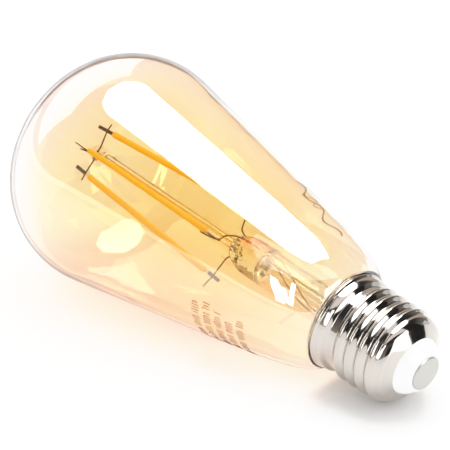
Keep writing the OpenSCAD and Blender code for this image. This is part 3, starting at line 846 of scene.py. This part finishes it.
FLOOR_HALF = 7
floor_z = cad_box[0].z
floor_corners = [(x * FLOOR_HALF, y * FLOOR_HALF, floor_z) for x, y in ((-1, -1), (1, -1), (1, 1), (-1, 1))]
floor_material = plain("floor", (0.885, 0.885, 0.885), (0.9, 0.9, 0.9), (0.6, 0.7), scale=60, bumps=0.0)
stage_mesh("floor", floor_corners, floor_material, hidden=False)

# the overhead softbox; it shows in the glass and the nickel
BOX_Z = 0.9
BOX_CORNERS = ((-0.08, -0.215), (-0.271, -0.103), (-0.384, 0.093), (-0.384, 0.342), (-0.19, 0.546),
               (0.02, 0.546), (0.212, 0.342), (0.212, -0.09), (0.09, -0.215))
stage_mesh("softbox", [(x, y, BOX_Z) for x, y in BOX_CORNERS], glow("softbox_glow", WHITE, 12))

# name, azimuths, elevations, distance, the point they are seen from, colour and strength
CARDS = (
    ("side_box", (64, 113), (-5.5, 42), 0.17, CAP_EDGE, WHITE, 4),
    ("upper_box", (0, 112), (41, 70), FAR, MIDDLE, (1.0, 0.9, 0.87), 1.4),
    ("back_wall", (-172, -100), (-1, 56), FAR, MIDDLE, (1.0, 0.86, 0.75), 0.7),
    ("high_back", (-150, -62), (12, 46), 1.4, MIDDLE, (1, 0.99, 0.97), 2.2),
    ("black_card", (114, 150), (-9.5, 62), 0.075, CAP_EDGE, BLACK, 1.0),
    ("low_card", (40, 63), (2, 27), 0.16, CAP_EDGE, BLACK, 1.0),
    ("window", (153, 172), (-1, 16), FAR, MIDDLE, (0.85, 0.93, 1.0), 1.1),
)
for name, (a0, a1), (e0, e1), away, seen_from, colour, strength in CARDS:
    corners = wall_points(((a0, e0), (a1, e0), (a1, e1), (a0, e1)), away, seen_from)
    stage_mesh(name, corners, glow(f"{name}_glow", colour, strength))

# three far panes that show only where the glass draws in at the neck; each has two level edges, given as two
# azimuths and the elevation
PANES = (((0.8, 5.2, 9), (2.2, 4.6, 35)), ((4.4, 7.4, 29), (6.6, 9.4, 12)),
         ((8.5, 12.5, 11), (13.5, 17.5, 42)))
pane_glow = glow("pane_glow", WHITE, 11)
for i, ((a0, a1, e0), (b0, b1, e1)) in enumerate(PANES):
    corners = wall_points(((a0, e0), (a1, e0), (b1, e1), (b0, e1)), FAR, MIDDLE)
    stage_mesh(f"pane_{i + 1}", corners, pane_glow)

# ---------------------------------------------------------------- world and key light
# What lights the scene is an even white; what shows in glass and metal is a bright horizon under a dark sky.
EVEN_LIGHT = 1.34
SKY_LIGHT = 1.7
SKY_TINT = [(0.0, (1, 0.98, 0.95)), (0.075, (1, 0.98, 0.95)), (0.083, (0.24, 0.22, 0.2)),
            (0.26, (0.15, 0.14, 0.125)), (0.48, (0.09, 0.085, 0.08)), (0.68, BLACK), (1.0, BLACK)]


def studio_world():
    world = bpy.data.worlds.new("studio")
    world.use_nodes = True
    nt = world.node_tree
    even = nt.nodes["Background"]
    even.inputs[0].default_value = (*WHITE, 1)
    even.inputs[1].default_value = EVEN_LIGHT
    coords = nt.nodes.new("ShaderNodeTexCoord")
    parts = nt.nodes.new("ShaderNodeSeparateXYZ")
    nt.links.new(coords.outputs["Generated"], parts.inputs[0])
    sky = add(nt, "ShaderNodeBackground", in_Strength=SKY_LIGHT)
    nt.links.new(ramp(nt, parts.outputs["Z"], SKY_TINT), sky.inputs[0])
    path = nt.nodes.new("ShaderNodeLightPath")
    mirrored = calculate(nt, "MAXIMUM", path.outputs["Is Glossy Ray"], path.outputs["Is Transmission Ray"])
    surface = mix_shaders(nt, mirrored, even.outputs[0], sky.outputs[0])
    nt.links.new(surface, nt.nodes["World Output"].inputs["Surface"])
    return world


def look(ob, ahead):
    """Turns a light or a camera so that it looks along ahead."""
    ob.rotation_mode = "QUATERNION"
    ob.rotation_quaternion = ahead.to_track_quat("-Z", "Y")


def key_light():
    """A soft disk overhead that casts the shadow on the floor and doesn't show itself."""
    data = bpy.data.lights.new("key", "AREA")
    data.shape = "DISK"
    data.size = 0.7
    data.energy = 6.0
    key = bpy.data.objects.new("key", data)
    scene.collection.objects.link(key)
    key.location = (-0.085, 0.165, 0.9)
    look(key, MIDDLE - key.location)
    key.visible_glossy = False
    key.visible_transmission = False
    key.visible_camera = False


scene.world = studio_world()
key_light()


# ---------------------------------------------------------------- camera and view
CAMERA_AZIMUTH = 43.8
CAMERA_ELEVATION = 27.8
CAMERA_AWAY = 1.3854
CAMERA_LENS = 424.9
AIM_OFFSET = Vector((-0.0014, -0.0021, -0.0012))        # from the middle of the lamp's box

# a soft shoulder, as a camera gives: light as a share of WHITE_LEVEL, and how bright it shows
WHITE_LEVEL = 2
TONE = ((0.25, 0.49), (0.335, 0.62), (0.45, 0.78), (0.56, 0.92), (0.75, 0.99))


def camera():
    data = bpy.data.cameras.new("camera")
    cam = bpy.data.objects.new("camera", data)
    scene.collection.objects.link(cam)
    back = direction(CAMERA_AZIMUTH, CAMERA_ELEVATION)
    cam.location = (cad_box[0] + cad_box[1]) / 2 + AIM_OFFSET + back * CAMERA_AWAY
    look(cam, -back)
    data.sensor_width = 36
    data.lens = CAMERA_LENS
    data.clip_start = 0.01
    data.clip_end = 50
    return cam


def tone_curve():
    scene.view_settings.use_curve_mapping = True
    tone = scene.view_settings.curve_mapping
    tone.white_level = (WHITE_LEVEL, WHITE_LEVEL, WHITE_LEVEL)
    tone.extend = "HORIZONTAL"
    for light, shown in TONE:
        tone.curves[3].points.new(light, shown)
    tone.update()


bpy.context.scene.camera = camera()
scene.view_settings.view_transform = "Standard"
scene.view_settings.look = "None"
tone_curve()
scene.cycles.max_bounces = 24
scene.cycles.transmission_bounces = 20
scene.cycles.glossy_bounces = 8
scene.cycles.transparent_max_bounces = 24
scene.cycles.use_denoising = True
